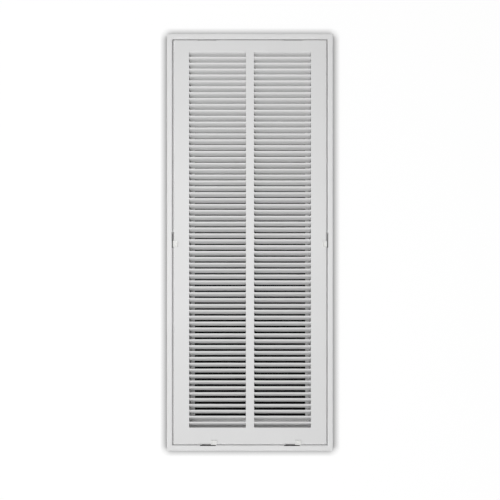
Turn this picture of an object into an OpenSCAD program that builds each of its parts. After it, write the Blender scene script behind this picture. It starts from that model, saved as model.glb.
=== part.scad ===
// Return air filter grille: a mitred steel frame with a louvred door hung at its top edge.
// The front faces -Y, the wall plane is Y = 0, and the origin is the centre of the opening there.

/* [Opening] */
// Nominal width of the wall opening
opening_w = 203.2; // [180:0.1:260]
// Nominal height of the wall opening
opening_h = 609.6; // [400:0.1:700]
// Face flange beyond the opening on each side
flange = 33.2; // [32:0.1:38]

/* [Frame] */
// Thickness of the steel sheet of frame and door
sheet_t = 0.6; // [0.5:0.05:0.8]
// Front of the border ahead of the wall
frame_d = 9; // [9:0.1:11]
// Width of the border around the door
border_w = 9.4; // [8.6:0.1:12]
// Depth of the neck behind the wall plane
neck_d = 30; // [25:0.5:60]
// Neck smaller than the opening on each side
neck_play = 1.6; // [1:0.1:3]
// Width of the filter stop lip at the rear of the neck
lip_w = 6.6; // [5:0.1:10]
// Radius at the middle of the sheet in each fold of the frame
fold_r = 2; // [1:0.1:2.2]
// Diameter of the mounting screw holes
screw_d = 4.8; // [4:0.1:5.5]
// Distance of the screw holes from the ends of the frame
screw_end = 68; // [45:1:120]

/* [Door] */
// Gap between the door and the border
door_gap = 1; // [0.9:0.1:2]
// Face of the door behind the face of the border
door_set = 0.4; // [0.2:0.1:0.8]
// Depth of the turned edge of the door
door_edge = 6.4; // [5.6:0.1:6.6]
// Radius at the middle of the sheet in the fold of the door
door_fold = 1.3; // [1:0.1:1.5]
// Radius of the door corners
corner_r = 2; // [1:0.1:4]

/* [Louvres] */
// Pitch of the louvres
pitch = 9.525; // [8:0.005:12.7]
// Depth of a louvre behind the face
louvre_d = 7; // [6:0.1:7.2]
// Drop of a louvre as a share of the pitch
louvre_share = 0.785; // [0.75:0.005:0.9]
// Flat front strip at the top of a louvre
louvre_flat = 1.8; // [1.2:0.1:2.4]
// Play between the ends of a louvre and its window
louvre_play = 0.5; // [0.4:0.1:2]
// Plain margin above the louvres
margin_top = 17.9; // [16:0.1:24]
// Plain margin beside the louvres
margin_side = 25.9; // [25:0.1:30]
// Plain band between the two columns
band_w = 13.4; // [10:0.1:30]

/* [Hinges and latches] */
// Distance of the hinges from the sides of the door
hinge_side = 54.3; // [45:0.1:75]
// Distance of the bottom latches from the sides of the door
latch_side = 56.4; // [45:0.1:75]
// Height of the side latches above the centre
side_latch_z = 4; // [0:0.5:60]
// Width of the notches in the door edge
notch_w = 25.2; // [25:0.1:28]
// Diameter of the hinge pins
pin_d = 1.6; // [1.4:0.05:1.8]
// Width of a latch thumb pad
pad_w = 9.7; // [9:0.1:11]
// Place of the bottom latches along their notches
park_bottom = 9.7; // [7:0.1:9.7]
// Place of the side latches along their notches
park_side = 6.7; // [5:0.1:9.7]

/* [Hidden] */
$fn = 48;
frame_w = opening_w + 2 * flange;
frame_h = opening_h + 2 * flange;
neck_in = flange + neck_play;
screw_z = frame_h / 2 - screw_end;
face_y = door_set - frame_d;
door_w = frame_w - 2 * (border_w + door_gap);
door_h = frame_h - 2 * (border_w + door_gap);
edge_y = face_y + door_edge;
back_y = face_y + sheet_t;
hinge_x = door_w / 2 - hinge_side;
latch_x = door_w / 2 - latch_side;

louvre_n = floor(opening_h / pitch + 0.001);
louvre_h = pitch * louvre_share;
louvre_top = door_h / 2 - margin_top;
column_w = (door_w - 2 * margin_side - band_w) / 2;
column_x = (column_w + band_w) / 2;
louvre_r = 1.6;
louvre_rise = 0.3;
root = 0.3;

key_t = 1.2;
key_arm = 32;
key_w = border_w - 2 * (sheet_t + fold_r);

knuckle_r = 1.7;
pin_play = 0.05;
hinge_y = back_y + knuckle_r + 0.1;
hinge_z = door_h / 2 - knuckle_r;
hinge_notch = 1.7;
leaf_w = 24;
leaf_t = 0.8;
leaf_h = 12.5;
ear_t = 1.2;
ear_r = knuckle_r - 0.2;
ear_x = leaf_w / 2 + 0.4;
bracket_t = 1;
bracket_h = 15;
head_t = 0.6;
head_r = 1.2;
hinge_cut = ear_x + ear_t + head_t + 0.4;

latch_play = 0.05;
latch_notch = 1.6;
neck_t = 1.4;
neck_w = 5;
pad_h = 7.2;
pad_t = 1.4;
pad_rim = 1.5;
pad_dish = 0.5;
clamp_t = 1.8;
clamp_h = 6.4;
rib_t = 1.3;
rib_d = 3;
hook_t = 1.5;
hook_out = door_gap - 0.3;
hook_y = edge_y - 1.9;
tooth_w = 2.6;
tooth_x = -notch_w / 2;
tooth_y = hook_y - 1.1;
slot_back = -sheet_t / 2 - fold_r - 0.6;
slot_in = 1.1;
keeper_in = 2.4;
keeper_w = 2.4;
keeper_span = 18;
keeper_foot = 6;

// Folded strips: a centre line of points, each bend an arc
function unit(v) = v / norm(v);
function left_of(v) = [-v[1], v[0]];
function turned(v, a) = [v[0] * cos(a) - v[1] * sin(a), v[0] * sin(a) + v[1] * cos(a)];
function bend(p, i, r, off, n) =
    let (d0 = unit(p[i] - p[i - 1]),
         d1 = unit(p[i + 1] - p[i]),
         a = atan2(d0[0] * d1[1] - d0[1] * d1[0], d0 * d1),
         s = sign(a),
         c = p[i] - d0 * r * tan(abs(a) / 2) + s * r * left_of(d0))
    [for (k = [0:n]) c - s * (r - s * off) * turned(left_of(d0), a * k / n)];
function strip_side(p, r, off, n) =
    let (m = len(p) - 1)
    concat([p[0] + off * left_of(unit(p[1] - p[0]))],
           [for (i = [1:1:m - 1]) each bend(p, i, r, off, n)],
           [p[m] + off * left_of(unit(p[m] - p[m - 1]))]);
function backwards(v) = [for (i = [len(v) - 1:-1:0]) v[i]];
function strip(p, r, t, n) = concat(strip_side(p, r, t / 2, n), backwards(strip_side(p, r, -t / 2, n)));

// Section of a rail: x runs inward from the outer edge, y is the depth
function rail_line() =
    let (t = sheet_t / 2)
    [[t, 0],
     [t, t - frame_d],
     [border_w - t, t - frame_d],
     [border_w - t, -t],
     [neck_in + t, -t],
     [neck_in + t, neck_d - t],
     [neck_in + lip_w, neck_d - t]];

// Section of a louvre: x is the depth, y the height below its top edge
function louvre_line() =
    [[sheet_t / 2, 0],
     [sheet_t / 2, -louvre_flat],
     [louvre_d - sheet_t / 2, louvre_rise - louvre_h]];

// Flat plate with round corners, its thickness along Y from y = 0
module round_plate(w, h, t, r) {
    rotate([90, 0, 0]) translate([0, 0, -t]) linear_extrude(t) {
        square([w - 2 * r, h], center = true);
        square([w, h - 2 * r], center = true);
        for (x = [-1, 1], z = [-1, 1]) translate([x * (w / 2 - r), z * (h / 2 - r)]) circle(r);
    }
}

// Profile with its two front corners rounded: x is the width, y the depth
module pressed_profile(w, y, d, r) {
    translate([-w / 2, y + r]) square([w, d - r]);
    translate([r - w / 2, y]) square([w - 2 * r, d]);
    for (x = [-1, 1]) translate([x * (w / 2 - r), y + r]) circle(r);
}

// Plate with round corners and rounded front edges
module pressed_block(w, h, y, d, corner, fold) {
    intersection() {
        translate([0, y, 0]) round_plate(w, h, d, corner);
        linear_extrude(h, center = true) pressed_profile(w, y, d, fold);
        rotate([0, 90, 0]) linear_extrude(w, center = true) pressed_profile(h, y, d, fold);
    }
}

// Block between two corners
module block(a, b) {
    translate(a) cube(b - a);
}

// Places along the door edge: x runs along the edge, z inward from it
module at_bottom(x) {
    translate([x, 0, -door_h / 2]) children();
}

module at_left() {
    translate([-door_w / 2, 0, side_latch_z]) rotate([0, 90, 0]) children();
}

module at_right() {
    mirror([1, 0, 0]) at_left() children();
}

// One rail along Z with its outer edge on x = 0, mitred at both ends
module rail(half) {
    inner = neck_in + lip_w + 1;
    intersection() {
        linear_extrude(2 * half, center = true) polygon(strip(rail_line(), fold_r, sheet_t, 8));
        translate([0, neck_d + 1, 0]) rotate([90, 0, 0]) linear_extrude(neck_d + frame_d + 2)
            polygon([[-1, -half - 1], [inner, inner - half], [inner, half - inner], [-1, half + 1]]);
    }
}

// Slot through the inner fold of a rail, as long as the notch in the door edge
module catch_slot() {
    block([tooth_x, -frame_d - 1, -door_gap - slot_in], [-tooth_x, slot_back, 0.5 - door_gap]);
}

// Finger from the end of the slot, which a locked latch slides behind
module catch_tooth() {
    block([tooth_x - 1, tooth_y, -door_gap - sheet_t], [tooth_x + tooth_w, tooth_y + sheet_t, -0.3]);
}

module screw_hole(z) {
    x = (border_w + neck_in) / 2;
    translate([x, 1, z]) rotate([90, 0, 0]) cylinder(h = sheet_t + 2, d = screw_d);
}

module side_rail() {
    difference() {
        translate([-frame_w / 2, 0, 0]) rail(frame_h / 2);
        for (z = [-screw_z, screw_z]) translate([-frame_w / 2, 0, 0]) screw_hole(z);
        at_left() catch_slot();
    }
    at_left() catch_tooth();
}

module left_rail() {
    color("white") side_rail();
}

module right_rail() {
    color("white") mirror([1, 0, 0]) side_rail();
}

module top_rail() {
    color("white") translate([0, 0, frame_h / 2]) rotate([0, 90, 0]) rail(frame_w / 2);
}

module bottom_rail() {
    color("white") {
        difference() {
            mirror([0, 0, 1]) translate([0, 0, frame_h / 2]) rotate([0, 90, 0]) rail(frame_w / 2);
            for (x = [-latch_x, latch_x]) at_bottom(x) catch_slot();
        }
        for (x = [-latch_x, latch_x]) at_bottom(x) catch_tooth();
    }
}

// Flat L key inside the border at the top left corner
module corner_key() {
    inset = (border_w - key_w) / 2;
    y = sheet_t - frame_d;
    translate([-frame_w / 2 + inset, y, frame_h / 2 - inset]) {
        block([0, 0, -key_arm], [key_w, key_t, 0]);
        block([0, 0, -key_w], [key_arm, key_t, 0]);
    }
}

module corner_key_top_left() {
    color("silver") corner_key();
}

module corner_key_top_right() {
    color("silver") mirror([1, 0, 0]) corner_key();
}

module corner_key_bottom_left() {
    color("silver") mirror([0, 0, 1]) corner_key();
}

module corner_key_bottom_right() {
    color("silver") mirror([1, 0, 0]) mirror([0, 0, 1]) corner_key();
}

// All louvres of one column, from its left edge: each hangs from a flat strip that joins both sides
module louvre_column() {
    section = strip(louvre_line(), louvre_r, sheet_t, 3);
    flat = louvre_flat - louvre_r / 2;
    rotate([0, 0, 90]) rotate([90, 0, 0])
        for (i = [0:louvre_n - 1]) translate([face_y, louvre_top - i * pitch, 0]) {
            translate([0, 0, louvre_play]) linear_extrude(column_w - 2 * louvre_play) polygon(section);
            translate([0, -flat, -root]) cube([sheet_t, flat, column_w + 2 * root]);
        }
}

module latch_cut() {
    block([-notch_w / 2, face_y - 1, -1], [notch_w / 2, edge_y + 1, latch_notch]);
}

module louvre_panel() {
    color("white") {
        difference() {
            pressed_block(door_w, door_h, face_y, door_edge, corner_r, door_fold + sheet_t / 2);
            pressed_block(door_w - 2 * sheet_t, door_h - 2 * sheet_t, back_y, door_edge,
                corner_r - sheet_t, door_fold - sheet_t / 2);
            for (s = [-1, 1])
                block([s * column_x - column_w / 2, face_y - 1, louvre_top - louvre_n * pitch],
                    [s * column_x + column_w / 2, back_y + 1, louvre_top]);
            for (x = [-latch_x, latch_x]) at_bottom(x) latch_cut();
            for (x = [-hinge_x, hinge_x])
                block([x - hinge_cut, face_y - 1, door_h / 2 - hinge_notch],
                    [x + hinge_cut, edge_y + 1, door_h / 2 + 1]);
            at_left() latch_cut();
            at_right() latch_cut();
        }
        for (s = [-1, 1]) translate([s * column_x - column_w / 2, 0, 0]) louvre_column();
    }
}

// Bracket on the frame with two ears that carry the hinge pin
module hinge_bracket(x) {
    seat = -sheet_t;
    top = hinge_z + ear_r;
    translate([x, 0, 0]) difference() {
        union() {
            block([-ear_x - ear_t, seat - bracket_t, top - bracket_h], [ear_x + ear_t, seat, top]);
            for (s = [-1, 1]) translate([s * (ear_x + ear_t / 2), 0, 0]) {
                block([-ear_t / 2, hinge_y, hinge_z - 3.2], [ear_t / 2, seat, top]);
                translate([-ear_t / 2, hinge_y, hinge_z]) rotate([0, 90, 0]) cylinder(h = ear_t, r = ear_r);
            }
        }
        translate([-notch_w, hinge_y, hinge_z]) rotate([0, 90, 0])
            cylinder(h = 2 * notch_w, d = pin_d + 2 * pin_play);
    }
}

module hinge_bracket_left() {
    color("silver") hinge_bracket(-hinge_x);
}

module hinge_bracket_right() {
    color("silver") hinge_bracket(hinge_x);
}

// Leaf behind the door face with its knuckle round the pin
module hinge_leaf(x) {
    translate([x - leaf_w / 2, 0, 0]) difference() {
        union() {
            block([0, back_y, hinge_z - leaf_h], [leaf_w, back_y + leaf_t, hinge_z]);
            translate([0, hinge_y, hinge_z]) rotate([0, 90, 0]) cylinder(h = leaf_w, r = knuckle_r);
        }
        translate([-1, hinge_y, hinge_z]) rotate([0, 90, 0])
            cylinder(h = leaf_w + 2, d = pin_d + 2 * pin_play);
    }
}

module hinge_leaf_left() {
    color("white") hinge_leaf(-hinge_x);
}

module hinge_leaf_right() {
    color("white") hinge_leaf(hinge_x);
}

// Pin with a peened head at each end
module hinge_pin(x) {
    reach = ear_x + ear_t;
    translate([x, hinge_y, hinge_z]) rotate([0, 90, 0]) {
        cylinder(h = 2 * reach, d = pin_d, center = true);
        for (s = [-1, 1]) translate([0, 0, s * (reach + head_t / 2)]) cylinder(h = head_t, r = head_r, center = true);
    }
}

module hinge_pin_left() {
    color("silver") hinge_pin(-hinge_x);
}

module hinge_pin_right() {
    color("silver") hinge_pin(hinge_x);
}

// Sliding latch: thumb pad in front, neck through the notch, clamp, rib and hook behind
module latch(park) {
    front = face_y - latch_play;
    behind = back_y + latch_play;
    neck_z = latch_notch - 0.1;
    half_pad = pad_w / 2;
    half_neck = neck_w / 2;
    translate([park, 0, 0]) {
        difference() {
            block([-half_pad, front - pad_t, neck_z - neck_t], [half_pad, front, pad_h]);
            block([pad_rim - half_pad, front - pad_t - 1, neck_z - neck_t + pad_rim],
                [half_pad - pad_rim, front - pad_t + pad_dish, pad_h - pad_rim]);
        }
        block([-half_neck, front - pad_t / 2, neck_z - neck_t], [half_neck, hook_y + hook_t, neck_z]);
        block([-half_pad, behind, neck_z], [half_pad, behind + clamp_t, clamp_h]);
        block([-half_neck, behind, neck_z - 0.5], [half_neck, behind + clamp_t, clamp_h]);
        block([-half_pad, behind, clamp_h - rib_t], [half_pad, behind + rib_d, clamp_h]);
        block([-half_neck, hook_y, -hook_out], [half_neck, hook_y + hook_t, neck_z]);
    }
}

module latch_bottom_left() {
    color("white") at_bottom(-latch_x) latch(park_bottom);
}

module latch_bottom_right() {
    color("white") at_bottom(latch_x) latch(park_bottom);
}

module latch_side_left() {
    color("white") at_left() latch(park_side);
}

module latch_side_right() {
    color("white") at_right() latch(park_side);
}

// Hat strap welded behind the face, which guides a latch
module keeper() {
    t = sheet_t / 2;
    foot_y = back_y + t;
    top_y = back_y + 2 * latch_play + clamp_t + 0.1 + t;
    line = [[-keeper_span - keeper_foot, foot_y],
        [-keeper_span - 1, foot_y],
        [-keeper_span, top_y],
        [keeper_span, top_y],
        [keeper_span + 1, foot_y],
        [keeper_span + keeper_foot, foot_y]];
    translate([0, 0, keeper_in]) linear_extrude(keeper_w) polygon(strip(line, 0.6, sheet_t, 3));
}

module keeper_bottom_left() {
    color("silver") at_bottom(-latch_x) keeper();
}

module keeper_bottom_right() {
    color("silver") at_bottom(latch_x) keeper();
}

module keeper_side_left() {
    color("silver") at_left() keeper();
}

module keeper_side_right() {
    color("silver") at_right() keeper();
}

left_rail();
right_rail();
top_rail();
bottom_rail();
corner_key_top_left();
corner_key_top_right();
corner_key_bottom_left();
corner_key_bottom_right();
louvre_panel();
hinge_bracket_left();
hinge_bracket_right();
hinge_leaf_left();
hinge_leaf_right();
hinge_pin_left();
hinge_pin_right();
latch_bottom_left();
latch_bottom_right();
latch_side_left();
latch_side_right();
keeper_bottom_left();
keeper_bottom_right();
keeper_side_left();
keeper_side_right();
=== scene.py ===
"""Looks of a return air filter grille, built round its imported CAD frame.

The grille is a powder-coated steel frame with a louvred door hung at its top edge. Its front
faces -Y, +Z is up and the wall plane is Y = 0. Sizes in the classes are millimetres, as a
maker's drawing gives them; they become metres when a mesh is made.
"""

import logging
import math
from dataclasses import dataclass
from enum import Enum
from typing import Any

import bmesh
import bpy
import numpy as np
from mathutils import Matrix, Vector


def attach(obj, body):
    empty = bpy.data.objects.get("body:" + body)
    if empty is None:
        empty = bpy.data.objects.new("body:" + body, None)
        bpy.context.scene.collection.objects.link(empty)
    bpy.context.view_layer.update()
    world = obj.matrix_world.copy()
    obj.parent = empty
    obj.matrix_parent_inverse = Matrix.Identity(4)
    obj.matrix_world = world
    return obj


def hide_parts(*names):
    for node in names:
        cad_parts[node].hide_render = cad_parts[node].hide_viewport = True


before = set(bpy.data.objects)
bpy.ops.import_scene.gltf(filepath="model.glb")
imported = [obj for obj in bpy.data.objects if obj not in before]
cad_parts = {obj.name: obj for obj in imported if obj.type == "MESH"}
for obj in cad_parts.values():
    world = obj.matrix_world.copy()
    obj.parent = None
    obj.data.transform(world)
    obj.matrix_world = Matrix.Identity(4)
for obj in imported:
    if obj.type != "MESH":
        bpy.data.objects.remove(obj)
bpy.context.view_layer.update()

LOG = logging.getLogger("grille")

# One millimetre in metres
MM = 0.001
# Points nearer than this are one point, in metres
WELD = 2.0e-6
# Folds sharper than this stay crisp
SMOOTH_ANGLE = math.radians(32.0)
# Allowance for comparing places on the sheet with its grid lines, in millimetres
SLACK = 0.01


class Slot(Enum):
    """Names of the record's material slots; the pieces here get their finishes directly, not
    through these names.
    """

    FRAME_COAT = "frame_coat"
    DOOR_COAT = "door_coat"
    ZINC_STEEL = "zinc_steel"
    LATCH_PLASTIC = "latch_plastic"


def linear(code: str) -> tuple[float, float, float, float]:
    """Turns an sRGB hex colour into linear RGBA.

    Args:
        code: Colour such as "#dcdcda".

    Returns:
        Red, green, blue and alpha, each from 0 to 1.
    """
    srgb = np.array([int(code[i : i + 2], 16) for i in (1, 3, 5)]) / 255.0
    rgb = np.where(srgb <= 0.04045, srgb / 12.92, ((srgb + 0.055) / 1.055) ** 2.4)
    return (float(rgb[0]), float(rgb[1]), float(rgb[2]), 1.0)


def per_metre(size_mm: float) -> float:
    """Gives the texture scale whose features are size_mm across in object space."""
    return 1.0 / (size_mm * MM)


def add_node(
    tree: bpy.types.NodeTree,
    kind: str,
    settings: dict[Any, Any] | None = None,
    links: dict[Any, bpy.types.NodeSocket] | None = None,
) -> bpy.types.Node:
    """Adds one shader node with its settings and incoming links.

    Args:
        tree: Node tree that gets the node.
        kind: The node's type name without its ShaderNode prefix.
        settings: Properties by name, or input values by input name or index.
        links: Source sockets by input name or index.

    Returns:
        The new node.
    """
    node = tree.nodes.new("ShaderNode" + kind)
    for name, value in (settings or {}).items():
        if isinstance(name, str) and hasattr(node, name):
            setattr(node, name, value)
        else:
            node.inputs[name].default_value = value
    for name, source in (links or {}).items():
        tree.links.new(source, node.inputs[name])
    return node


def new_material(name: str) -> tuple[bpy.types.Material, bpy.types.NodeTree]:
    """Makes an empty node material.

    Args:
        name: Name of the material.

    Returns:
        The material and its cleared node tree.
    """
    material = bpy.data.materials.new(name)
    material.use_nodes = True
    material.node_tree.nodes.clear()
    return material, material.node_tree


@dataclass(frozen=True)
class Relief:
    """One layer of fine bumps: its pattern, how strongly it shows and how high it stands."""

    pattern: bpy.types.NodeSocket
    strength: float
    rise_mm: float


def join_finish(
    tree: bpy.types.NodeTree,
    colours: tuple[str, str],
    shade: bpy.types.NodeSocket,
    roughness: tuple[float, float],
    grain: bpy.types.NodeSocket,
    reliefs: tuple[Relief, ...],
    base: dict[Any, Any],
) -> None:
    """Joins the patterns of a finish in its shader.

    Colour goes from the first to the second with the shade, roughness from the first to the
    second with the grain, and each relief lies on the one before it.

    Args:
        tree: Node tree of the finish.
        colours: Darker and lighter hex colour.
        shade: Pattern of the colour, from 0 to 1.
        roughness: Lowest and highest roughness.
        grain: Pattern of the roughness, from 0 to 1.
        reliefs: Layers of bumps, the lowest one first.
        base: Values that are the same all over the surface.
    """
    dark, light = colours
    colour = add_node(
        tree, "Mix", {"data_type": "RGBA", 6: linear(dark), 7: linear(light)}, {0: shade}
    ).outputs[2]
    low, high = roughness
    gloss = add_node(
        tree, "MapRange", {"To Min": low, "To Max": high}, {"Value": grain}
    ).outputs["Result"]
    links = {"Base Color": colour, "Roughness": gloss}
    raised: dict[Any, bpy.types.NodeSocket] = {}
    for relief in reliefs:
        bump = add_node(
            tree,
            "Bump",
            {"Strength": relief.strength, "Distance": relief.rise_mm * MM},
            {"Height": relief.pattern, **raised},
        )
        raised = {"Normal": bump.outputs["Normal"]}
    shader = add_node(tree, "BsdfPrincipled", base, {**links, **raised})
    add_node(tree, "OutputMaterial", None, {"Surface": shader.outputs["BSDF"]})


@dataclass(frozen=True)
class PowderCoat:
    """Polyester powder coat on folded steel, sprayed and baked.

    It gives the eye an even satin white with a fine orange peel, a faint cloudiness where the
    film is thicker, and soft wide highlights along the folds.
    """

    name: str
    dark: str = "#dcdcdc"
    light: str = "#e0e0e0"
    roughness: tuple[float, float] = (0.39, 0.50)
    ior: float = 1.5
    # Thicker and thinner film over a hand's width of sheet
    cloud_mm: float = 70.0
    # Orange peel: low round bumps, a few hundredths of a millimetre high
    peel_mm: float = 1.3
    peel_rise_mm: float = 0.05
    peel_strength: float = 0.30
    # Slow waves of thin sheet between its folds
    wave_mm: float = 38.0
    wave_rise_mm: float = 0.35
    wave_strength: float = 0.25

    def material(self) -> bpy.types.Material:
        """Builds the finish and returns its material."""
        material, tree = new_material(self.name)
        place = add_node(tree, "TexCoord").outputs["Object"]
        cloud = add_node(
            tree,
            "TexNoise",
            {"Scale": per_metre(self.cloud_mm), "Detail": 3.0, "Roughness": 0.55},
            {"Vector": place},
        ).outputs["Fac"]
        peel = add_node(
            tree,
            "TexNoise",
            {"Scale": per_metre(self.peel_mm), "Detail": 2.0, "Roughness": 0.45},
            {"Vector": place},
        ).outputs["Fac"]
        wave = add_node(
            tree,
            "TexNoise",
            {"Scale": per_metre(self.wave_mm), "Detail": 1.0, "Roughness": 0.4},
            {"Vector": place},
        ).outputs["Fac"]
        reliefs = (
            Relief(wave, self.wave_strength, self.wave_rise_mm),
            Relief(peel, self.peel_strength, self.peel_rise_mm),
        )
        colours = (self.dark, self.light)
        join_finish(tree, colours, cloud, self.roughness, peel, reliefs, {"IOR": self.ior})
        return material


@dataclass(frozen=True)
class MouldedNylon:
    """White injection-moulded nylon with a fine spark-eroded grain.

    It gives the eye nearly the white of the paint with a softer, blurred shine.
    """

    name: str
    dark: str = "#dbdbd9"
    light: str = "#e3e3e1"
    roughness: tuple[float, float] = (0.32, 0.46)
    ior: float = 1.53
    # Faint clouds from the flow of the melt, about as wide as the pad
    flow_mm: float = 9.0
    # Real grit is about 0.1 mm wide; it is drawn coarser, as it has to be to show
    grain_mm: float = 0.5
    grain_rise_mm: float = 0.04
    grain_strength: float = 0.2

    def material(self) -> bpy.types.Material:
        """Builds the finish and returns its material."""
        material, tree = new_material(self.name)
        place = add_node(tree, "TexCoord").outputs["Object"]
        flow = add_node(
            tree,
            "TexNoise",
            {"Scale": per_metre(self.flow_mm), "Detail": 2.0},
            {"Vector": place},
        ).outputs["Fac"]
        grain = add_node(
            tree,
            "TexNoise",
            {"Scale": per_metre(self.grain_mm), "Detail": 3.0, "Roughness": 0.6},
            {"Vector": place},
        ).outputs["Fac"]
        reliefs = (Relief(grain, self.grain_strength, self.grain_rise_mm),)
        colours = (self.dark, self.light)
        join_finish(tree, colours, flow, self.roughness, grain, reliefs, {"IOR": self.ior})
        return material


@dataclass(frozen=True)
class ZincPlate:
    """Zinc-coated steel strip, rolled and then coated, left bare.

    It gives the eye a cool grey metal with faint crystal patches and fine rolling lines.
    """

    name: str
    dark: str = "#b2b5b9"
    light: str = "#c9cbce"
    roughness: tuple[float, float] = (0.28, 0.48)
    spangle_mm: float = 2.6
    # Rolling lines run along Z: real ones are about 0.1 mm wide, drawn coarser to show
    line_mm: float = 0.5
    line_squeeze: tuple[float, float, float] = (1.0, 1.0, 0.06)
    line_rise_mm: float = 0.02
    line_strength: float = 0.15

    def material(self) -> bpy.types.Material:
        """Builds the finish and returns its material."""
        material, tree = new_material(self.name)
        place = add_node(tree, "TexCoord").outputs["Object"]
        spangle = add_node(
            tree,
            "TexVoronoi",
            {"Scale": per_metre(self.spangle_mm)},
            {"Vector": place},
        ).outputs["Color"]
        shade = add_node(tree, "RGBToBW", None, {0: spangle}).outputs[0]
        along = add_node(
            tree, "Mapping", {"Scale": self.line_squeeze}, {"Vector": place}
        ).outputs["Vector"]
        lines = add_node(
            tree,
            "TexNoise",
            {"Scale": per_metre(self.line_mm), "Detail": 3.0, "Roughness": 0.6},
            {"Vector": along},
        ).outputs["Fac"]
        reliefs = (Relief(lines, self.line_strength, self.line_rise_mm),)
        colours = (self.dark, self.light)
        join_finish(tree, colours, shade, self.roughness, lines, reliefs, {"Metallic": 1.0})
        return material


class PressedSheet:
    """Open sheet surface gathered from grids of points and welded into one mesh."""

    def __init__(self) -> None:
        """Starts with no points."""
        self.points: list[np.ndarray] = []
        self.quads: list[np.ndarray] = []
        self.count = 0

    def add(
        self, grids: np.ndarray, keep: np.ndarray | None = None, flip: bool = False
    ) -> None:
        """Adds a batch of point grids; each four neighbouring points make one quad.

        Args:
            grids: Points in millimetres, shape (batch, rows, columns, 3).
            keep: Mask of the quads to keep, shape (rows - 1, columns - 1).
            flip: Whether the quads' front sides are turned round.
        """
        batch, rows, columns, _ = grids.shape
        index = np.arange(batch * rows * columns).reshape(batch, rows, columns)
        index = index + self.count
        quads = np.stack(
            [index[:, :-1, :-1], index[:, :-1, 1:], index[:, 1:, 1:], index[:, 1:, :-1]],
            axis=-1,
        )
        if keep is not None:
            quads = quads[:, keep]
        quads = quads.reshape(-1, 4)
        self.quads.append(quads[:, ::-1] if flip else quads)
        self.points.append(grids.reshape(-1, 3))
        self.count += batch * rows * columns

    def mesh(self, name: str) -> bpy.types.Mesh:
        """Welds all grids into one mesh in metres.

        Quads whose points coincide shrink to triangles, and unused points go.

        Args:
            name: Name of the mesh.

        Returns:
            The welded mesh.
        """
        mesh = bpy.data.meshes.new(name)
        points = np.concatenate(self.points) * MM
        mesh.from_pydata(points.tolist(), [], np.concatenate(self.quads).tolist())
        shape = bmesh.new()
        shape.from_mesh(mesh)
        bmesh.ops.remove_doubles(shape, verts=shape.verts[:], dist=WELD)
        loose = [v for v in shape.verts if not v.link_faces]
        bmesh.ops.delete(shape, geom=loose, context="VERTS")
        shape.to_mesh(mesh)
        shape.free()
        return mesh


def finished(
    name: str, mesh: bpy.types.Mesh, *steps: tuple[str, dict[str, Any]]
) -> bpy.types.Object:
    """Applies modifiers to a mesh and makes it a smooth-shaded object with crisp edges.

    Args:
        name: Name of the new object.
        mesh: Mesh to work on.
        steps: Modifier types with their settings, in order.

    Returns:
        The finished object at the origin, with no modifier left on it.
    """
    raw = bpy.data.objects.new(name + "_raw", mesh)
    bpy.context.collection.objects.link(raw)
    for kind, settings in steps:
        modifier = raw.modifiers.new(kind.lower(), kind)
        for key, value in settings.items():
            setattr(modifier, key, value)
    graph = bpy.context.evaluated_depsgraph_get()
    solid = bpy.data.meshes.new_from_object(raw.evaluated_get(graph))
    bpy.data.objects.remove(raw)
    solid.name = name
    solid.shade_smooth()
    solid.set_sharp_from_angle(angle=SMOOTH_ANGLE)
    piece = bpy.data.objects.new(name, solid)
    bpy.context.collection.objects.link(piece)
    return piece


def seat(
    piece: bpy.types.Object, node: str, body: str, finish: bpy.types.Material
) -> None:
    """Puts a piece in the place of a CAD node and gives it its finish.

    Args:
        piece: The new piece.
        node: CAD node that it stands for.
        body: Body that it moves with.
        finish: Material to wear.
    """
    piece.data.materials.clear()
    piece.data.materials.append(finish)
    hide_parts(node)
    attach(piece, body)


def dress(node: str, finish: bpy.types.Material) -> None:
    """Gives a CAD node a finish in each of its material slots."""
    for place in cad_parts[node].material_slots:
        place.material = finish


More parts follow.
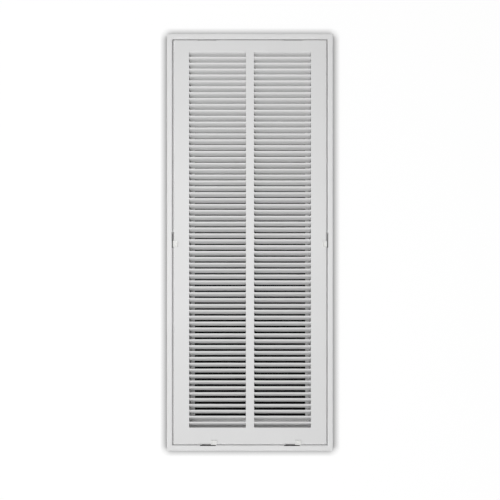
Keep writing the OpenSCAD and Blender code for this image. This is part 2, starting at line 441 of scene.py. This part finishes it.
@dataclass
class LouvreDoor:
    """Door stamped from one steel sheet: two columns of lanced louvres and turned edges."""

    width: float = 248.8
    height: float = 655.2
    face_y: float = -8.6
    edge_depth: float = 6.4
    sheet: float = 0.6
    corner_r: float = 2.0
    fold_r: float = 1.6
    count: int = 64
    pitch: float = 9.525
    top_margin: float = 17.9
    side_margin: float = 25.9
    band: float = 13.4
    louvre_depth: float = 7.0
    louvre_drop: float = 7.177
    louvre_flat: float = 1.8
    louvre_r: float = 1.6
    end_play: float = 0.2
    window_r: float = 0.8
    # Free corners of the louvres: how far each draws in, and how far up the louvre
    blade_left: tuple[float, float] = (3.4, 6.0)
    blade_right: tuple[float, float] = (1.2, 2.6)
    latch_x: float = 68.0
    hinge_x: float = 70.1
    side_latch_z: float = 4.0
    latch_cut: float = 25.2
    hinge_cut: float = 29.2
    hinge_notch: float = 1.7
    arc_steps: int = 5

    def __post_init__(self) -> None:
        """Works out the lines that all grids of the door share."""
        self.top = self.height / 2 - self.top_margin
        self.column_w = (self.width - 2 * self.side_margin - self.band) / 2
        self.tilt = math.atan2(
            self.louvre_depth - self.sheet, self.louvre_drop - self.louvre_flat
        )
        self.bend_at = self.louvre_flat - self.louvre_r * math.tan(self.tilt / 2)
        self.flat_x = self.width / 2 - self.fold_r
        self.flat_z = self.height / 2 - self.fold_r
        self.arc_x = self.width / 2 - self.corner_r
        self.arc_z = self.height / 2 - self.corner_r
        inner = self.band / 2
        outer = inner + self.column_w
        self.windows = ((-outer, -inner), (inner, outer))
        self.tops = self.top - self.pitch * np.arange(self.count)
        self.x_lines = self.column_lines()
        self.z_lines = self.row_lines()

    def column_lines(self) -> np.ndarray:
        """Returns the x of every grid line: edges, notches, windows and louvre ends."""
        sides = np.array([-0.5, 0.5])
        cuts = [self.latch_x + sides * self.latch_cut, self.hinge_x + sides * self.hinge_cut]
        half = np.concatenate([[self.flat_x, self.arc_x], *cuts])
        steps = np.array([0.0, self.end_play, self.window_r])
        lefts = np.append(steps, self.end_play + self.blade_left[0])
        rights = np.append(steps, self.end_play + self.blade_right[0])
        ends = [line for left, right in self.windows for line in (left + lefts, right - rights)]
        return np.unique(np.round(np.concatenate([-half, half, *ends]), 4))

    def row_lines(self) -> np.ndarray:
        """Returns the z of every grid line: edges, notches, strips and window corners."""
        ends = [self.flat_z, self.arc_z]
        marks = [
            self.height / 2 - self.hinge_notch,
            self.side_latch_z - self.latch_cut / 2,
            self.side_latch_z + self.latch_cut / 2,
            self.tops[-1] - self.pitch,
        ]
        strips = np.concatenate(
            [self.tops, self.tops - self.bend_at, self.tops - self.pitch + self.window_r]
        )
        return np.unique(
            np.round(np.concatenate([ends, [-z for z in ends], marks, strips]), 4)
        )

    def face(self, press: PressedSheet) -> None:
        """Adds the flat face: all cells between the grid lines that aren't cut out.

        A cell goes if its middle lies in a window, in a hinge notch or in a rounded corner.
        """
        x, z = np.meshgrid(self.x_lines, self.z_lines)
        mid_x = (self.x_lines[1:] + self.x_lines[:-1]) / 2
        mid_z = (self.z_lines[1:] + self.z_lines[:-1]) / 2
        below = self.top - mid_z
        in_rows = (below > 0) & (below < self.count * self.pitch)
        in_rows &= np.mod(below, self.pitch) > self.bend_at
        in_columns = np.zeros(mid_x.shape, bool)
        for left, right in self.windows:
            in_columns |= (mid_x > left) & (mid_x < right)
        in_notch = np.abs(np.abs(mid_x) - self.hinge_x) < self.hinge_cut / 2
        notch_rows = mid_z > self.height / 2 - self.hinge_notch
        corner = np.abs(mid_x)[None, :] > self.arc_x
        corner = corner & (np.abs(mid_z)[:, None] > self.arc_z)
        cut = in_rows[:, None] & in_columns[None, :]
        cut |= notch_rows[:, None] & in_notch[None, :]
        y = np.full(x.shape, self.face_y)
        press.add(np.stack([x, y, z], axis=-1)[None], keep=~(cut | corner))

    def window_corners(self, press: PressedSheet) -> None:
        """Adds the rounded lower corners of the windows.

        Each is a fan from the square corner to an arc about a centre one radius inside.
        """
        turn = np.linspace(0.0, math.pi / 2, self.arc_steps + 1)
        sills = self.tops - self.pitch
        for left, right in self.windows:
            for x0, side in ((left, 1.0), (right, -1.0)):
                arc_x = x0 + side * self.window_r * (1.0 - np.cos(turn))
                arc_z = self.window_r * (1.0 - np.sin(turn))
                fan = np.zeros((self.count, 2, turn.size, 3))
                fan[..., 1] = self.face_y
                fan[:, 0, :, 0] = x0
                fan[:, 1, :, 0] = arc_x
                fan[:, 0, :, 2] = sills[:, None]
                fan[:, 1, :, 2] = sills[:, None] + arc_z
                press.add(fan, flip=side < 0)

    def blade_section(self) -> tuple[np.ndarray, np.ndarray, np.ndarray, np.ndarray]:
        """Works out the front line of a louvre from where it leaves its flat strip.

        The line is an arc that turns back by the louvre's tilt, then straight to the rear
        edge. A free corner is a quarter of an ellipse, w wide and l long: at the distance d
        from the rear edge the end draws in by w (1 - sqrt(1 - (1 - d / l)^2)). The points
        crowd towards that edge to follow it.

        Returns:
            Depth behind the face, height below the louvre's top, and how far each row draws
            in at its left and at its right end.
        """
        radius = self.louvre_r + self.sheet / 2
        turn = np.linspace(0.0, self.tilt, self.arc_steps)
        straight = (self.louvre_depth - self.sheet) / math.sin(self.tilt)
        straight -= self.louvre_r * math.tan(self.tilt / 2)
        longest = max(self.blade_left[1], self.blade_right[1])
        near = longest * (1 - np.sin(np.linspace(0.0, math.pi / 2, self.arc_steps + 3)))
        run = straight - near
        sine, cosine = math.sin(self.tilt), math.cos(self.tilt)
        depth = np.concatenate(
            [radius * (1 - np.cos(turn)), radius * (1 - cosine) + run * sine]
        )
        fall = np.concatenate([radius * np.sin(turn), radius * sine + run * cosine])
        draws = [
            np.append(
                np.zeros(turn.size),
                width * (1 - np.sqrt(1 - np.maximum(1 - near / length, 0.0) ** 2)),
            )
            for width, length in (self.blade_left, self.blade_right)
        ]
        return depth, self.bend_at + fall, draws[0], draws[1]

    def blades(self, press: PressedSheet) -> None:
        """Adds all louvres: the section carried along x, drawn in at both free ends."""
        depth, fall, draw_left, draw_right = self.blade_section()
        for left, right in self.windows:
            start, stop = left + self.end_play, right - self.end_play
            inside = (self.x_lines > start - SLACK) & (self.x_lines < stop + SLACK)
            x = np.clip(
                self.x_lines[inside][None, :],
                start + draw_left[:, None],
                stop - draw_right[:, None],
            )
            grid = np.zeros((self.count, *x.shape, 3))
            grid[..., 0] = x
            grid[..., 1] = self.face_y + depth[:, None]
            grid[..., 2] = self.tops[:, None, None] - fall[:, None]
            press.add(grid, flip=True)

    def rim_path(self) -> tuple[np.ndarray, np.ndarray, np.ndarray]:
        """Walks once round the flat face, against the clock as seen from the front.

        Returns:
            Points on the inner line of the fold (x, z), the outward directions there, and
            for each step whether a notch cuts it.
        """
        x = self.x_lines[np.abs(self.x_lines) < self.arc_x + SLACK]
        z = self.z_lines[np.abs(self.z_lines) < self.arc_z + SLACK]
        turn = np.linspace(0.0, math.pi / 2, self.arc_steps + 1)[1:-1]
        sides = (
            (np.stack([x, np.full(x.shape, -self.flat_z)], 1), -90.0),
            (np.stack([np.full(z.shape, self.flat_x), z], 1), 0.0),
            (np.stack([x[::-1], np.full(x.shape, self.flat_z)], 1), 90.0),
            (np.stack([np.full(z.shape, -self.flat_x), z[::-1]], 1), 180.0),
        )
        corners = ((1, -1), (1, 1), (-1, 1), (-1, -1))
        points, outward = [], []
        for (line, angle), (sx, sz) in zip(sides, corners):
            heading = math.radians(angle)
            points.append(line)
            outward.append(np.tile([math.cos(heading), math.sin(heading)], (len(line), 1)))
            around = np.stack([np.cos(heading + turn), np.sin(heading + turn)], 1)
            centre = np.array([sx * self.arc_x, sz * self.arc_z])
            points.append(centre + (self.corner_r - self.fold_r) * around)
            outward.append(around)
        path = np.concatenate([*points, points[0][:1]])
        normal = np.concatenate([*outward, outward[0][:1]])
        mid = (path[1:] + path[:-1]) / 2
        above = mid[:, 1] > 0
        centre = np.where(above, self.hinge_x, self.latch_x)
        cut = np.where(above, self.hinge_cut, self.latch_cut)
        at_fitting = np.abs(np.abs(mid[:, 0]) - centre) < cut / 2
        at_end = np.abs(mid[:, 1]) > self.flat_z - SLACK
        at_side = np.abs(mid[:, 1] - self.side_latch_z) < self.latch_cut / 2
        at_edge = np.abs(mid[:, 0]) > self.flat_x - SLACK
        return path, normal, (at_fitting & at_end) | (at_side & at_edge)

    def rim(self, press: PressedSheet) -> None:
        """Adds the turned edge: a quarter-round fold and a straight wall round the face."""
        path, normal, notched = self.rim_path()
        turn = np.linspace(0.0, math.pi / 2, self.arc_steps + 2)
        out = np.append(self.fold_r * np.sin(turn), self.fold_r)
        depth = np.append(self.fold_r * (1 - np.cos(turn)), self.edge_depth)
        grid = np.zeros((1, out.size, len(path), 3))
        grid[0, :, :, 0] = path[:, 0] + out[:, None] * normal[:, 0]
        grid[0, :, :, 1] = self.face_y + depth[:, None]
        grid[0, :, :, 2] = path[:, 1] + out[:, None] * normal[:, 1]
        keep = np.tile(~notched, (out.size - 1, 1))
        press.add(grid, keep=keep, flip=True)

    def face_corners(self, press: PressedSheet) -> None:
        """Closes the four corners of the flat face with fans about the corner centres."""
        turn = np.linspace(0.0, math.pi / 2, self.arc_steps + 1)
        small = self.corner_r - self.fold_r
        for sx, sz, start in ((1, -1, -90), (1, 1, 0), (-1, 1, 90), (-1, -1, 180)):
            heading = math.radians(start) + turn
            fan = np.zeros((1, 2, turn.size, 3))
            fan[..., 1] = self.face_y
            fan[0, :, :, 0] = sx * self.arc_x
            fan[0, :, :, 2] = sz * self.arc_z
            fan[0, 1, :, 0] += small * np.cos(heading)
            fan[0, 1, :, 2] += small * np.sin(heading)
            press.add(fan, flip=True)

    def build(self, coat: bpy.types.Material) -> bpy.types.Object:
        """Stamps the door, gives it its sheet thickness and hangs it on the door body.

        Args:
            coat: Paint of the door.

        Returns:
            The finished door.
        """
        press = PressedSheet()
        self.face(press)
        self.window_corners(press)
        self.blades(press)
        self.rim(press)
        self.face_corners(press)
        thickness = {
            "thickness": self.sheet * MM,
            "offset": -1.0,
            "use_even_offset": True,
            "use_quality_normals": True,
        }
        door = finished("louvre_door", press.mesh("louvre_door"), ("SOLIDIFY", thickness))
        seat(door, "louvre_panel", "door", coat)
        return door


@dataclass
class MitredFrame:
    """Four folded rails mitred at the corners, with the flat keys that hold them."""

    rails: tuple[str, ...] = ("left_rail", "right_rail", "top_rail", "bottom_rail")
    corners: tuple[str, ...] = ("top_left", "top_right", "bottom_left", "bottom_right")

    def build(self, coat: bpy.types.Material, zinc: bpy.types.Material) -> None:
        """Dresses the rails and keys.

        Args:
            coat: Paint of the rails.
            zinc: Bare plated steel of the keys.
        """
        for rail in self.rails:
            dress(rail, coat)
        for corner in self.corners:
            dress("corner_key_" + corner, zinc)


@dataclass
class Hinges:
    """Two pin hinges in the top edge of the door."""

    sides: tuple[str, ...] = ("left", "right")

    def build(self, frame_coat: bpy.types.Material, door_coat: bpy.types.Material) -> None:
        """Dresses the hinges, which are welded and riveted on before all is painted.

        Args:
            frame_coat: Paint of the brackets and pins.
            door_coat: Paint of the leaves.
        """
        for side in self.sides:
            dress("hinge_bracket_" + side, frame_coat)
            dress("hinge_pin_" + side, frame_coat)
            dress("hinge_leaf_" + side, door_coat)


@dataclass
class SlideLatches:
    """Four white sliding latches and the straps that guide them behind the door."""

    places: tuple[str, ...] = ("bottom_left", "bottom_right", "side_left", "side_right")
    edge_round: float = 0.35
    round_steps: int = 3
    # Facets that turn less than the first angle are one flat, edges past the second are rounded
    flat_angle: float = math.radians(1.0)
    edge_angle: float = math.radians(40.0)

    def moulding(self, node: str) -> bpy.types.Object:
        """Makes a latch with moulded round edges from a merged copy of its CAD node.

        Args:
            node: CAD node to copy.

        Returns:
            The rounded latch.
        """
        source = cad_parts[node].data
        shape = bmesh.new()
        shape.from_mesh(source)
        bmesh.ops.remove_doubles(shape, verts=shape.verts[:], dist=WELD)
        bmesh.ops.dissolve_limit(
            shape, angle_limit=self.flat_angle, verts=shape.verts[:], edges=shape.edges[:]
        )
        mesh = bpy.data.meshes.new(node + "_moulding")
        shape.to_mesh(mesh)
        shape.free()
        rounding = {
            "width": self.edge_round * MM,
            "segments": self.round_steps,
            "limit_method": "ANGLE",
            "angle_limit": self.edge_angle,
        }
        return finished(node + "_moulding", mesh, ("BEVEL", rounding))

    def build(self, nylon: bpy.types.Material, zinc: bpy.types.Material) -> None:
        """Moulds the latches and dresses their straps.

        Args:
            nylon: White plastic of the latches.
            zinc: Plated steel of the straps.
        """
        for place in self.places:
            node = "latch_" + place
            seat(self.moulding(node), node, node, nylon)
            dress("keeper_" + place, zinc)


@dataclass
class Backdrop:
    """White wall with the duct opening, and behind it a dark sheet painted in place of the
    shade inside the duct.

    Both show only from the front, so the back of the grille can be looked at too.

    The wall's colour is darkened close to anything that stands on it, as (open sky share)
    raised to a power within a few millimetres, both set below. This painted shadow gives the
    grille the same soft shadow on all four sides.
    """

    opening_w: float = 203.2
    opening_h: float = 609.6
    reach: float = 4000.0
    wall_y: float = 0.5
    liner_y: float = 30.4
    wall_colour: str = "#fafafa"
    # Painted shade: colour of the sheet that stands in for the dark inside the duct
    painted_shade_liner_colour: str = "#242424"
    # Painted shadow: how far from the grille the wall's colour is darkened, how steeply, and
    # with how many samples
    painted_shadow_mm: float = 13.0
    painted_shadow_power: float = 2.1
    painted_shadow_samples: int = 32
    # Share of the wall that the camera sees as a glowing white, and how bright that white is;
    # the painted shadow darkens it too
    flat_share: float = 0.86
    flat_white: float = 1.07

    def one_sided(self, name: str, colour: str, flat_share: float) -> bpy.types.Material:
        """Makes a plain surface, darkened by painted shadow near things, that is solid from its
        front and clear from behind.

        Light that has passed one clear side goes through the others too, so a view from
        behind is lit from all round.

        Args:
            name: Name of the material.
            colour: Colour of the surface.
            flat_share: Share of the brightness that the camera sees as a glowing white,
                whatever the lamps do; the rest is lit as a matt surface. Both parts carry the
                painted shadow.

        Returns:
            The material.
        """
        material, tree = new_material(name)
        # Painted shadow: the colour is darkened by the share of open sky near things, raised to
        # a power
        sky = add_node(
            tree,
            "AmbientOcclusion",
            {"samples": self.painted_shadow_samples, "Distance": self.painted_shadow_mm * MM},
        ).outputs["AO"]
        shade = add_node(
            tree, "Math", {"operation": "POWER", 1: self.painted_shadow_power}, {0: sky}
        ).outputs[0]
        shadow_painted_colour = add_node(
            tree, "VectorMath", {"operation": "SCALE", 0: linear(colour)[:3]}, {"Scale": shade}
        ).outputs[0]
        matt = add_node(tree, "BsdfDiffuse", None, {"Color": shadow_painted_colour}).outputs[0]
        even = add_node(
            tree, "Emission", {"Strength": self.flat_white}, {"Color": shadow_painted_colour}
        ).outputs[0]
        rays = add_node(tree, "LightPath").outputs
        seen = add_node(
            tree, "Math", {"operation": "MULTIPLY", 1: flat_share}, {0: rays["Is Camera Ray"]}
        ).outputs[0]
        surface = add_node(tree, "MixShader", None, {0: seen, 1: matt, 2: even}).outputs[0]
        clear = add_node(tree, "BsdfTransparent").outputs[0]
        back = add_node(tree, "NewGeometry").outputs["Backfacing"]
        hidden = add_node(
            tree,
            "Math",
            {"operation": "ADD", "use_clamp": True},
            {0: rays["Transparent Depth"], 1: back},
        ).outputs[0]
        mix = add_node(tree, "MixShader", None, {0: hidden, 1: surface, 2: clear}).outputs[0]
        add_node(tree, "OutputMaterial", None, {"Surface": mix})
        return material

    def plane(
        self, name: str, x_lines: list[float], z_lines: list[float], y: float, hole: bool
    ) -> bpy.types.Object:
        """Makes an upright plane from its grid lines, with or without its middle cell.

        Args:
            name: Name of the plane.
            x_lines: Lines across, in millimetres.
            z_lines: Lines upward, in millimetres.
            y: Place in depth.
            hole: Whether the middle cell is left open.

        Returns:
            The plane, facing -Y.
        """
        x, z = np.meshgrid(x_lines, z_lines)
        keep = np.ones((len(z_lines) - 1, len(x_lines) - 1), bool)
        if hole:
            keep[keep.shape[0] // 2, keep.shape[1] // 2] = False
        press = PressedSheet()
        press.add(np.stack([x, np.full(x.shape, y), z], axis=-1)[None], keep=keep)
        plane = bpy.data.objects.new(name, press.mesh(name))
        bpy.context.collection.objects.link(plane)
        return plane

    def build(self) -> None:
        """Builds the wall, with its painted shadow, and the dark liner that stands in for the
        duct's shade.
        """
        half_w, half_h, reach = self.opening_w / 2, self.opening_h / 2, self.reach
        wide = [-reach, -half_w, half_w, reach]
        high = [-reach, -half_h, half_h, reach]
        wall = self.plane("wall", wide, high, self.wall_y, True)
        white = self.one_sided("white_wall_painted_shadow", self.wall_colour, self.flat_share)
        wall.data.materials.append(white)
        # A dark sheet painted where the duct has only shade, so the louvre gaps look black
        liner = self.plane("duct_painted_shade", wide[1:3], high[1:3], self.liner_y, False)
        dark = self.one_sided("duct_painted_shade", self.painted_shade_liner_colour, 0.0)
        liner.data.materials.append(dark)


@dataclass(frozen=True)
class Lamp:
    """One soft area lamp: its place, size and power, aimed at the grille."""

    name: str
    place: tuple[float, float, float]
    size: float
    watts: float

    def build(self) -> None:
        """Hangs the lamp and turns it to the grille's middle, out of the camera's sight."""
        data = bpy.data.lights.new(self.name, "AREA")
        data.shape = "DISK"
        data.size = self.size
        data.energy = self.watts
        lamp = bpy.data.objects.new(self.name, data)
        lamp.location = self.place
        aim = -Vector(self.place)
        lamp.rotation_euler = aim.to_track_quat("-Z", "Y").to_euler()
        lamp.visible_camera = False
        bpy.context.collection.objects.link(lamp)


@dataclass
class Studio:
    """Camera straight in front of the grille, even white surroundings and soft lamps."""

    camera_place: tuple[float, float, float] = (0.0, -0.849, -0.0125)
    lens: float = 37.4
    sensor: float = 36.0
    ambient: float = 0.27
    lamps: tuple[Lamp, ...] = (
        Lamp("front_lamp", (-0.2, -1.9, 0.1), 1.2, 19.8),
        Lamp("side_lamp", (-1.6, -0.9, -0.1), 0.9, 7.5),
        Lamp("low_lamp", (0.2, -0.9, -1.7), 0.8, 6.0),
        Lamp("back_lamp", (1.0, 1.8, 0.6), 1.6, 24.0),
    )

    def world(self) -> None:
        """Makes surroundings that look white and light the grille from all round."""
        world = bpy.data.worlds.new("studio_white")
        bpy.context.scene.world = world
        world.use_nodes = True
        tree = world.node_tree
        tree.nodes.clear()
        white = (1.0, 1.0, 1.0, 1.0)
        seen = add_node(tree, "Background", {"Color": white, "Strength": 1.0}).outputs[0]
        felt = add_node(
            tree, "Background", {"Color": white, "Strength": self.ambient}
        ).outputs[0]
        path = add_node(tree, "LightPath")
        shown = path.outputs["Is Camera Ray"]
        for ray in ("Is Transmission Ray", "Is Glossy Ray"):
            either = add_node(
                tree, "Math", {"operation": "MAXIMUM"}, {0: shown, 1: path.outputs[ray]}
            )
            shown = either.outputs[0]
        mix = add_node(tree, "MixShader", None, {0: shown, 1: felt, 2: seen}).outputs[0]
        add_node(tree, "OutputWorld", None, {"Surface": mix})

    def camera(self) -> None:
        """Sets up the camera, level and square to the wall."""
        data = bpy.data.cameras.new("camera")
        data.lens = self.lens
        data.sensor_width = self.sensor
        camera = bpy.data.objects.new("camera", data)
        camera.location = self.camera_place
        camera.rotation_euler = (math.pi / 2, 0.0, 0.0)
        bpy.context.collection.objects.link(camera)
        bpy.context.scene.camera = camera

    def build(self) -> None:
        """Builds the surroundings, the camera and the lamps."""
        bpy.context.scene.view_settings.view_transform = "Standard"
        self.world()
        self.camera()
        for lamp in self.lamps:
            lamp.build()


def report(name: str, piece: bpy.types.Object | None = None) -> None:
    """Logs that a sub-assembly is done, with its face count if it has a mesh of its own."""
    faces = f", {len(piece.data.polygons)} faces" if piece else ""
    LOG.info("built %s%s", name, faces)


def main() -> None:
    """Builds the finishes, the sub-assemblies, the stage and the studio in order."""
    logging.basicConfig(level=logging.INFO, format="%(message)s")
    frame_coat = PowderCoat("frame_powder_coat").material()
    door_coat = PowderCoat("door_powder_coat", dark="#d7d7d7", light="#dcdcdc").material()
    nylon = MouldedNylon("white_nylon").material()
    zinc = ZincPlate("zinc_plated_steel").material()

    MitredFrame().build(frame_coat, zinc)
    report("mitred frame")
    report("louvre door", LouvreDoor().build(door_coat))
    Hinges().build(frame_coat, door_coat)
    report("hinges")
    SlideLatches().build(nylon, zinc)
    report("slide latches")
    Backdrop().build()
    report("wall and duct")
    Studio().build()
    report("studio")


if __name__ == "__main__":
    main()
